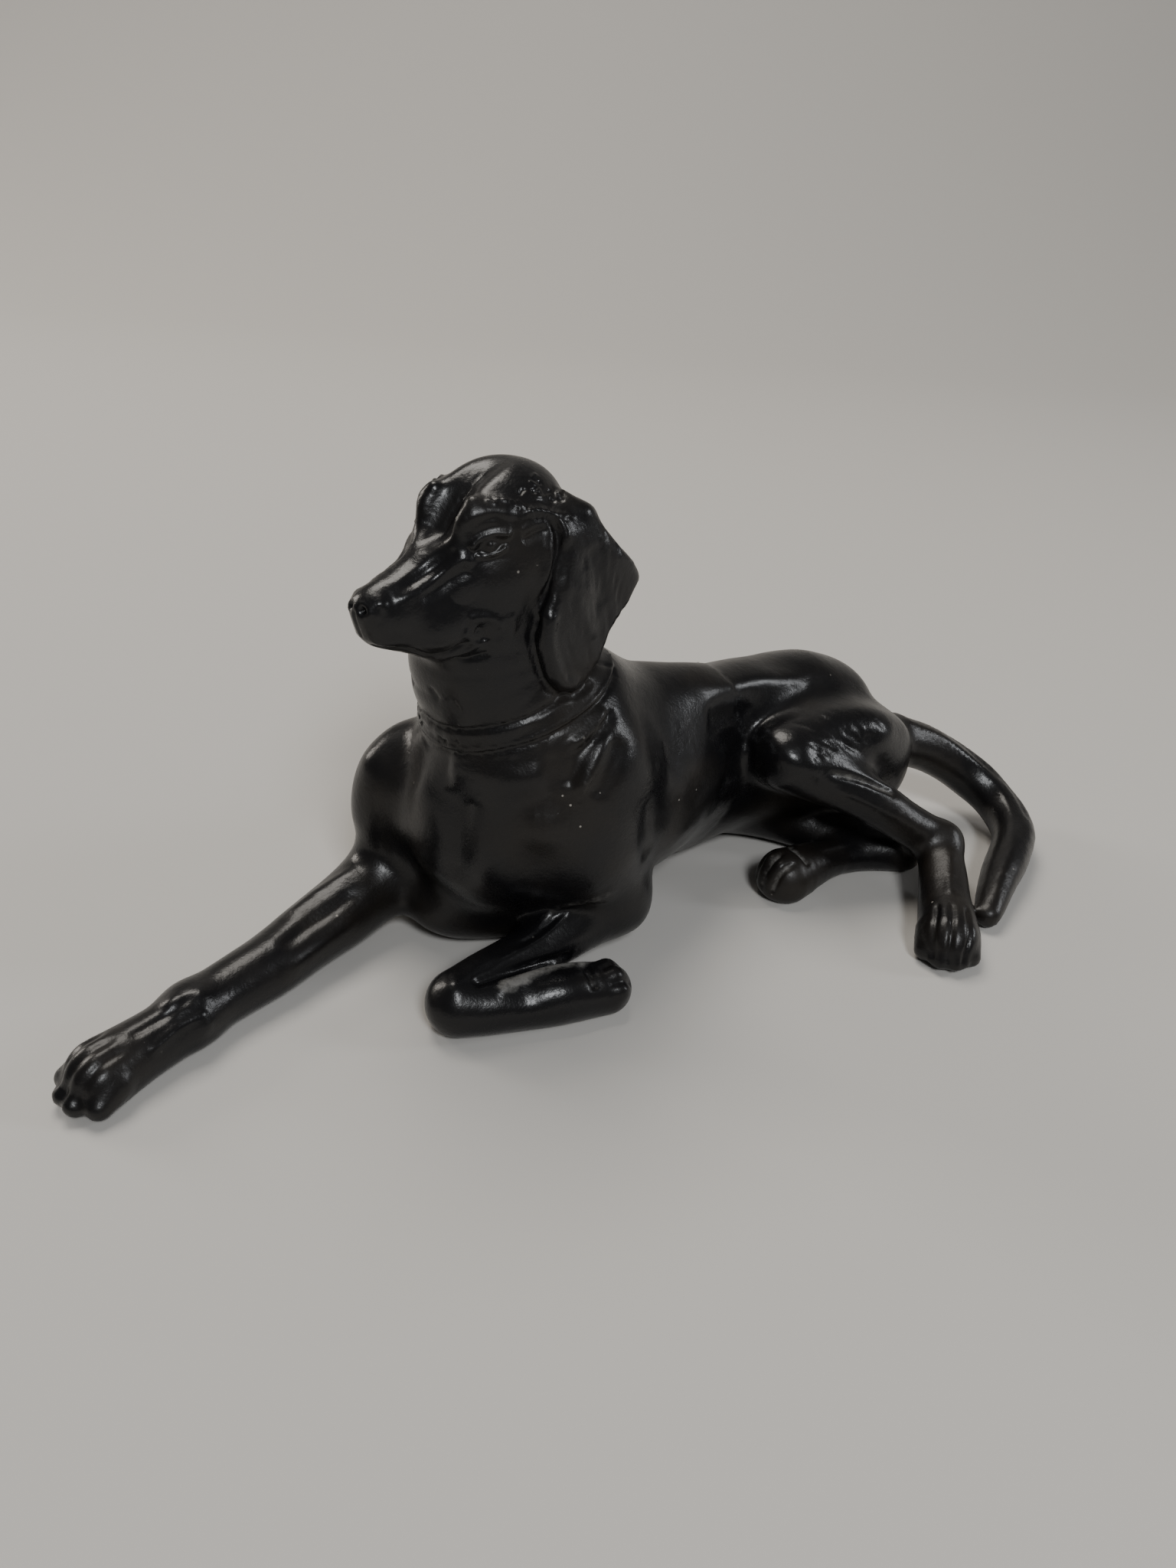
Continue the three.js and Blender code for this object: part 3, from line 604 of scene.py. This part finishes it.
# The stretched foreleg: tendons, wrist, and the toes with their claws.
stroke([(-63, 12, 19), (-73, 9, 17), (-81, 7, 16), (-89, 4, 14)], 1.6, -1.1)
stroke([(-61, 18, 21), (-72, 17, 19), (-84, 13, 17)], 2.0, 0.7)
stroke([(-66, 7, 14), (-78, 3, 12), (-90, 0, 10)], 2.0, 0.5)
pad((-117, -3, 14), 3.4, 0.8)
pad((-111, -3, 14), 3.0, 0.5)
pad((-112, -8, 9), 3.0, 0.7)
stroke([(-110, -7, 12), (-118, -9, 12), (-126, -12, 10)], 1.2, 0.6)
stroke([(-112, -3, 15), (-121, -6, 14.5), (-129, -8, 14)], 1.1, -0.5)

# The folded foreleg: sinews on the forearm, the paw turned over with its pads showing.
# The grey rubbed paint on the forearm's ridges and the paw's band is partly a painted highlight.
stroke([(-8, -27, 24), (-20, -28, 22), (-34, -27, 17), (-48, -29, 15)], 1.5, 0.7, rub_and_sheen=0.2)
stroke([(-10, -25, 28), (-20, -25, 24), (-31, -22, 18)], 1.3, 0.6, rub_and_sheen=0.35)
stroke([(-14, -27, 23), (-26, -26, 20), (-40, -26, 16)], 1.1, -0.6)
stroke([(-54, -31, 14), (-44, -31, 14), (-32, -31, 13), (-22, -31, 11)], 1.2, -1.4, ends=0.1)
stroke([(-50, -35, 13), (-44, -34.5, 13.5), (-36, -34, 13), (-28, -34.5, 12), (-20, -36, 11)],
       1.7, 0.8, rub_and_sheen=0.8)
pad((-32, -40, 12), 8.0, 1.2)
pad((-43, -38, 12), 5.0, -0.7)
stroke([(-25, -36, 12), (-25.5, -40, 12), (-26, -44, 10)], 1.2, -1.0, rub_and_sheen=0.3)
for y, z in ((-37.5, 11.5), (-42, 11.5), (-45.5, 8)):
    pad((-18.5, y, z), 3.2, 0.9)
stroke([(-22, -39.8, 12), (-18, -39.8, 12), (-13.6, -39.8, 9)], 0.9, -0.7)
stroke([(-22, -44, 10.5), (-18, -44.4, 10), (-14, -44, 7)], 0.9, -0.6)
pad((-58, -30, 13.5), 3.0, 0.5)

# Loin and flank: the ridge of the back muscle, the hollow under it and the fold before the thigh.
stroke([(30, -7, 63), (42, -4, 61.5), (54, -2, 60), (66, -2, 58), (75, -2, 55)], 3.2, 0.9)
stroke([(30, -12, 57), (42, -9, 54), (50, -8, 51)], 3.4, -1.2)
stroke([(28, -12, 54), (36, -11, 50), (42, -9, 44), (40, -11, 37), (35, -13, 30), (34, -11, 24)],
       3.4, -0.7)
pad((42, -8, 46), 4.0, -0.8)
stroke([(-2, -22, 56), (8, -18, 50), (14, -16, 38), (14, -14, 26)], 5, 0.6)
stroke([(8, -21, 58), (16, -17, 48), (22, -14, 36)], 4, -0.5)

# Thigh and shank: the front edge of the thigh, worked hair on it, and the crease at the knee.
stroke([(54, -9, 50), (51, -15, 48), (50, -21, 46.5), (54, -26, 43), (60, -28, 41)], 2.8, 0.5)
stroke([(61, -27, 40.5), (71, -31, 37.5), (79, -34, 34), (85, -36, 31)], 1.0, -1.0, rub_and_sheen=0.5)
stroke([(63, -29, 36), (73, -34, 31), (84, -40, 25), (93, -44, 19)], 1.6, 0.6)
thigh_hair = np.random.default_rng(5)
for _ in range(70):
    x, y = thigh_hair.uniform(56, 82), thigh_hair.uniform(-29, -14)
    long = thigh_hair.uniform(2.5, 5)
    stroke([(x, y, 47), (x + 0.5 * long, y - 0.35 * long, 46), (x + long, y - 0.7 * long, 44)],
           0.42, thigh_hair.uniform(-0.22, -0.1), ends=0.35)

# Hind feet: the hock, the sinew down the foot, and the toes' furrows.
pad((99, -46, 20), 3.4, 0.7)
pad((100, -40, 17), 3.0, 0.6)
stroke([(95, -50, 16), (88, -57, 14), (81, -64, 13)], 1.4, 0.6)
for side in (-1, 0, 1):
    x, y = 0.72 * side * 3.6, -0.69 * side * 3.6
    stroke([(79 + x, -66 + y, 12.5), (74.5 + x, -70.5 + y, 11.5), (70.5 + x, -74.5 + y, 7),
            (69 + x, -76 + y, 3)], 0.75, -0.8)
for side in (-1.5, -0.5, 0.5, 1.5):
    pad((70 + 0.72 * side * 4.2 - 1.2, -75.6 - 0.69 * side * 4.2 - 1.2, 3), 1.3, 0.5)
for y in (-29.5, -25, -20.5):
    stroke([(54, y, 13), (49, y, 12), (46, y, 7), (45.4, y, 4)], 0.8, -0.9, rub_and_sheen=0.5)
stroke([(60, -20, 13), (57, -25, 13.5), (58, -31, 11)], 0.9, -0.8, rub_and_sheen=0.6)
pad((50, -27.5, 12), 2.6, 0.6)
pad((50, -22.5, 12), 2.6, 0.6)
for side in (-1, 0, 1):
    x, y = 0.3 * side * 4.2, -0.95 * side * 4.2
    stroke([(-131 + x, -6.5 + y, 13), (-137 + x, -8.4 + y, 12.5), (-142 + x, -9.8 + y, 9),
            (-145 + x, -10.6 + y, 4)], 1.1, -0.6)
for side in (-1.5, -0.5, 0.5, 1.5):
    pad((-145 + 0.3 * side * 4.4, -10.6 - 0.95 * side * 4.4, 4), 1.8, 0.25)

# The tail: a ridge along its top and short hair towards the tip.
stroke([(112, -11, 37), (119, -14, 34), (127, -18, 30), (135, -25, 23), (138, -34, 17), (130, -46, 13.5),
        (119, -55, 12), (106, -62, 10), (98, -67, 7)], 1.2, 0.6, ends=0.06)
stroke([(113, -6, 37), (122, -10, 33), (131, -15, 27), (139, -24, 20), (143, -34, 14), (136, -47, 11)],
       1.4, -0.5, ends=0.08)

# The crown's chipped paint, where flakes are gone and the edges stand up.
chips = np.random.default_rng(3)
for x, y, z in ((-32, -11, 128), (-29, -12, 127), (-26, -11, 126), (-23, -11, 125), (-28, -8, 128)):
    for _ in range(3):
        dx, dy = chips.uniform(-1.6, 1.6, 2)
        turn = chips.uniform(0, math.pi)
        reach = np.array((math.cos(turn), math.sin(turn), 0)) * chips.uniform(0.6, 1.6)
        place = np.array((x + dx, y + dy, z))
        stroke([place - reach, place + reach], 0.5, chips.choice((-0.4, 0.3)), ends=0.3)

# A sand casting is never quite smooth: low, wide unevenness over the whole skin.
swell = np.random.default_rng(8)
for _ in range(24):
    wave = swell.normal(size=3) * 0.16
    relief += 0.045 * np.sin(at @ wave + swell.uniform(0, 2 * math.pi))

BARE_FOOT = 0.25  # no relief under this height
RELIEF_GROWS = 2.0  # over this much more of height it comes in fully
INSIDE = 0.02  # the casting stays this far within its drawn size

clear_of_table = np.clip((at[:, 2] - BARE_FOOT) / RELIEF_GROWS, 0, 1)
at = at + out * (relief * clear_of_table)[:, None]
low_edge = np.array(cad_low) / MM + PATTERN_MIDDLE + INSIDE
high_edge = np.array(cad_high) / MM + PATTERN_MIDDLE - INSIDE
low_edge[2] = 0
at = np.clip(at, low_edge, high_edge)
put_points(even, at)

# ---- The casting: its black finish ----------------------------------------------------------
# Black stoving paint over sand-cast iron: satin to glossy, thin over the sand's grain, a little brown where
# it is worn, grey where ridges have been rubbed, which on the lit ridges also serves as a painted
# highlight, with a few specks of dust.


class Wire:
    """A shader socket that can be written in sums; every other node comes from its node method."""

    def __init__(self, tree, socket=None):
        self.tree, self.socket = tree, socket

    def node(self, kind, settings=None, inputs=None, output=0):
        made = self.tree.nodes.new(kind)
        for name, value in (settings or {}).items():
            if name == "stops":
                for stop, (place, colour) in zip(made.color_ramp.elements, value):
                    stop.position, stop.color = place, colour
            else:
                setattr(made, name, value)
        for name, value in (inputs or {}).items():
            if isinstance(value, Wire):
                self.tree.links.new(value.socket, made.inputs[name])
            else:
                made.inputs[name].default_value = value
        return Wire(self.tree, made.outputs[output])

    def maths(self, operation, first, second):
        return self.node("ShaderNodeMath", {"operation": operation}, {0: first, 1: second})

    def __add__(self, other):
        return self.maths("ADD", self, other)

    __radd__ = __add__

    def __mul__(self, other):
        return self.maths("MULTIPLY", self, other)

    __rmul__ = __mul__

    def __sub__(self, other):
        return self.maths("SUBTRACT", self, other)

    def __rsub__(self, other):
        return self.maths("SUBTRACT", other, self)

    def above(self, low, high):
        """0 under low, 1 over high, and smooth between them."""
        return self.node("ShaderNodeMapRange", {"interpolation_type": "SMOOTHSTEP"},
                         {"Value": self, "From Min": low, "From Max": high})

    def tinted(self, under, over):
        """The colour under, with the colour over laid on where this is 1."""
        mix = self.tree.nodes.new("ShaderNodeMix")
        mix.data_type = "RGBA"
        self.tree.links.new(self.socket, mix.inputs["Factor"])
        for place, colour in ((6, under), (7, over)):
            if isinstance(colour, Wire):
                self.tree.links.new(colour.socket, mix.inputs[place])
            else:
                mix.inputs[place].default_value = (*colour, 1)
        return Wire(self.tree, mix.outputs[2])


PAINT = (0.0055, 0.0054, 0.0062)
WORN_PAINT = (0.013, 0.0105, 0.0085)
RUBBED_IRON_AND_SHEEN = (0.17, 0.165, 0.155)
DUST = (0.32, 0.30, 0.27)

black = bpy.data.materials.new("stoved_black")
black.use_nodes = True
shader = black.node_tree.nodes["Principled BSDF"]
bench = Wire(black.node_tree)
place = bench.node("ShaderNodeTexCoord", output=3)


def grain(scale, detail=3.0, rough=0.55):
    return bench.node("ShaderNodeTexNoise", None,
                      {"Vector": place, "Scale": scale, "Detail": detail, "Roughness": rough})


# Grey rubbed paint along ridges: real wear, and on the lit ridges a painted highlight too.
rub_and_sheen = bench.node("ShaderNodeAttribute", {"attribute_name": "rubbed_and_sheen"}, output=2)
clouds = grain(28.0, 4.0)
streaks = grain(420.0, 3.0, 0.7)
sand = grain(1500.0, 2.0, 0.6)
peel = grain(330.0, 2.0)
scuffs_and_sheen = (rub_and_sheen * (streaks * 2.1)).above(0.22, 0.85)
specks = bench.node("ShaderNodeTexVoronoi", None, {"Vector": place, "Scale": 260.0, "Randomness": 1.0})
dust = (1 - specks.above(0.055, 0.10)) * grain(60.0).above(0.58, 0.66)

colour = clouds.above(0.42, 0.72).tinted(PAINT, WORN_PAINT)
colour = scuffs_and_sheen.tinted(colour, RUBBED_IRON_AND_SHEEN)
colour = dust.tinted(colour, DUST)
height = sand * 0.45 + peel * 1.0 + streaks * 0.35
bump = bench.node("ShaderNodeBump", None, {"Height": height, "Strength": 0.32, "Distance": 0.00035})
roughness = 0.265 + clouds.above(0.35, 0.75) * 0.15 + scuffs_and_sheen * 0.22 + streaks.above(0.5, 0.8) * 0.05
for name, value in (("Base Color", colour), ("Roughness", roughness), ("Normal", bump)):
    black.node_tree.links.new(value.socket, shader.inputs[name])
shader.inputs["Specular IOR Level"].default_value = 0.36
shader.inputs["IOR"].default_value = 1.52
even.materials.clear()
even.materials.append(black)
even.shade_smooth()
wear_and_sheen = even.attributes.new("rubbed_and_sheen", "FLOAT", "POINT")
wear_and_sheen.data.foreach_set("value", rubbed_and_sheen)

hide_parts("dog")
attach(casting, "root")

# ---- Table and light --------------------------------------------------------------------------
# A plain pale table that sweeps up behind into a wall. A window before the dog, a soft light over
# it, an open doorway past its right shoulder, a small lantern beside it, and a dim room.

TABLE_HALF = 3.0
WALL_PLACE = 1.5
WALL_HEIGHT = 3.0
SWEEP = 0.7
STATUE_MIDDLE = (0, 0, 0.05)

table_mesh = bpy.data.meshes.new("table")
work = bmesh.new()
bmesh.ops.create_grid(work, x_segments=1, y_segments=1, size=TABLE_HALF)
bmesh.ops.translate(work, verts=work.verts, vec=(0, WALL_PLACE - TABLE_HALF, 0))
back = [e for e in work.edges if all(v.co.y > WALL_PLACE - 0.01 for v in e.verts)]
risen = bmesh.ops.extrude_edge_only(work, edges=back)["geom"]
top = [v for v in risen if isinstance(v, bmesh.types.BMVert)]
bmesh.ops.translate(work, verts=top, vec=(0, 0, WALL_HEIGHT))
bmesh.ops.bevel(work, geom=back, offset=SWEEP, segments=24, profile=0.5, affect="EDGES", material=-1)
bmesh.ops.rotate(work, verts=work.verts, cent=(0, 0, 0), matrix=Matrix.Rotation(-EYE_AZIMUTH, 3, "Z"))
work.to_mesh(table_mesh)
work.free()
table_mesh.shade_smooth()
table = bpy.data.objects.new("table", table_mesh)
bpy.context.scene.collection.objects.link(table)
pale = bpy.data.materials.new("pale_table")
pale.use_nodes = True
pale_shader = pale.node_tree.nodes["Principled BSDF"]
pale_shader.inputs["Base Color"].default_value = (0.52, 0.505, 0.48, 1)
pale_shader.inputs["Roughness"].default_value = 0.85
table_mesh.materials.append(pale)


def lamp(name, place, size, watts, colour):
    """A soft rectangular lamp that points at the statue."""
    data = bpy.data.lights.new(name, "AREA")
    data.shape = "RECTANGLE"
    data.size, data.size_y = size
    data.energy = watts
    data.color = colour
    made = bpy.data.objects.new(name, data)
    made.location = place
    made.rotation_mode = "QUATERNION"
    made.rotation_quaternion = (Vector(STATUE_MIDDLE) - Vector(place)).to_track_quat("-Z", "Y")
    bpy.context.scene.collection.objects.link(made)


lamp("window", (-0.37, -1.14, 1.25), (0.34, 0.42), 15, (0.96, 0.98, 1.0))
lamp("ceiling", (0.05, 0.65, 1.45), (0.75, 0.75), 15, (1.0, 0.95, 0.88))
lamp("doorway", (-0.75, 1.35, 0.60), (0.4, 0.7), 8, (1.0, 0.93, 0.85))
lamp("lantern", (1.30, -0.75, 0.65), (0.25, 0.4), 5, (0.95, 0.97, 1.0))

room = bpy.data.worlds.new("room")
room.use_nodes = True
daylight = room.node_tree.nodes["Background"]
daylight.inputs["Color"].default_value = (0.9, 0.88, 0.85, 1)
daylight.inputs["Strength"].default_value = 0.11
bpy.context.scene.world = room
